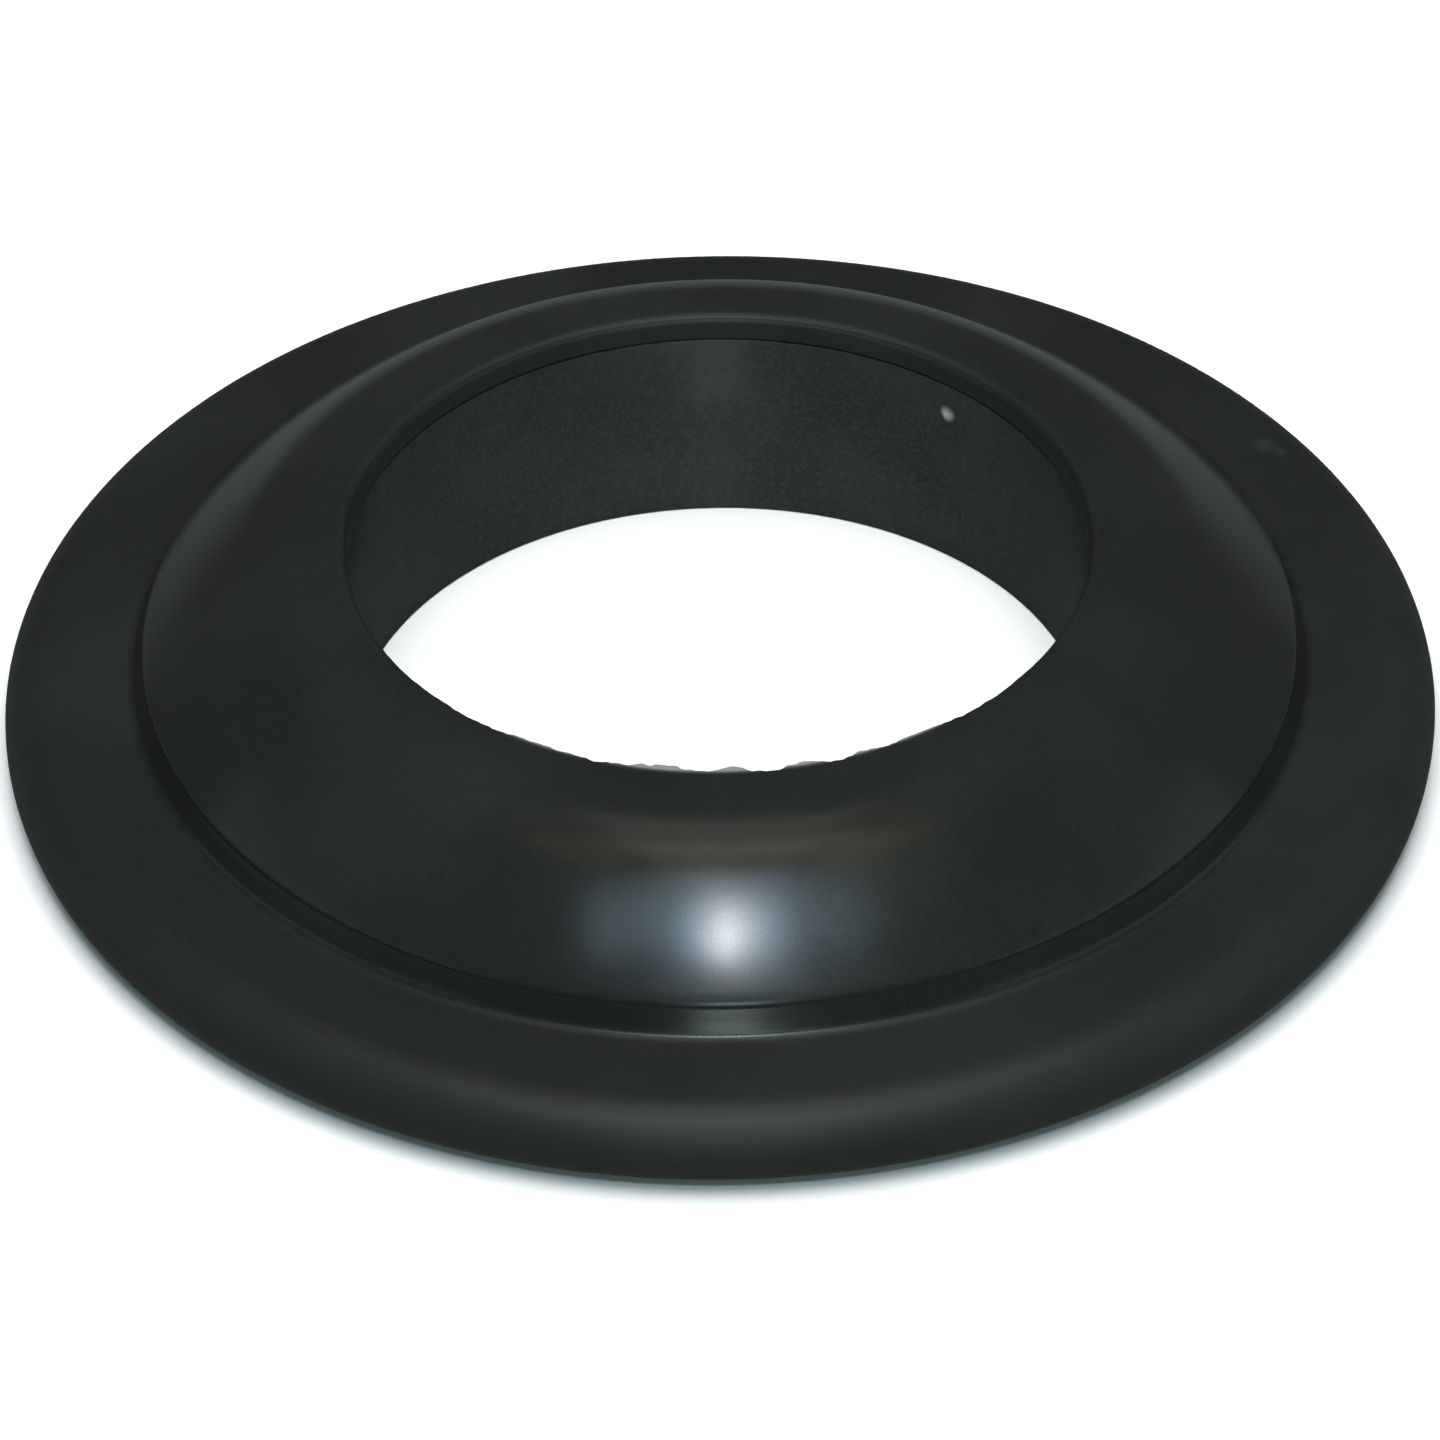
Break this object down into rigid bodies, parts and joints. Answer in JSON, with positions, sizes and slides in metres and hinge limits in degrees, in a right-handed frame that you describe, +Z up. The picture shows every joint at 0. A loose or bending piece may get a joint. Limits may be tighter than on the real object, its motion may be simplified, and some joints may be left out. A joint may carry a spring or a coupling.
{
  "type": "toilet flange",
  "caption": "Round black rubber toilet flange seal ring with a flat rim, a raised hollow dome and a plain vertical bore for the outlet horn.",
  "frame": {"origin": "on the ring's axis, in the plane that the rim and the floor seals rest on", "axes": "+Z up along the bore axis, from the floor side to the dome's crest; X and Y across the ring"},
  "size_m": [0.14, 0.14, 0.024],
  "materials": {
    "cover_rubber": "semi-gloss moulded black rubber",
    "sleeve_rubber": "matte black rubber with fine turned grain",
    "sponge": "closed-cell sponge rubber",
    "galvanised_steel": "galvanised",
    "base_rubber": "matte black rubber",
    "seal_rubber": "soft satin black rubber"
  },
  "bodies": {
    "root": {"rubber_cover": "cover_rubber", "bore_sleeve": "sleeve_rubber", "foam_core": "sponge", "stiffener_ring": "galvanised_steel", "base_skin": "base_rubber", "inner_floor_seal": "seal_rubber", "outer_floor_seal": "seal_rubber"}
  },
  "joints": []
}
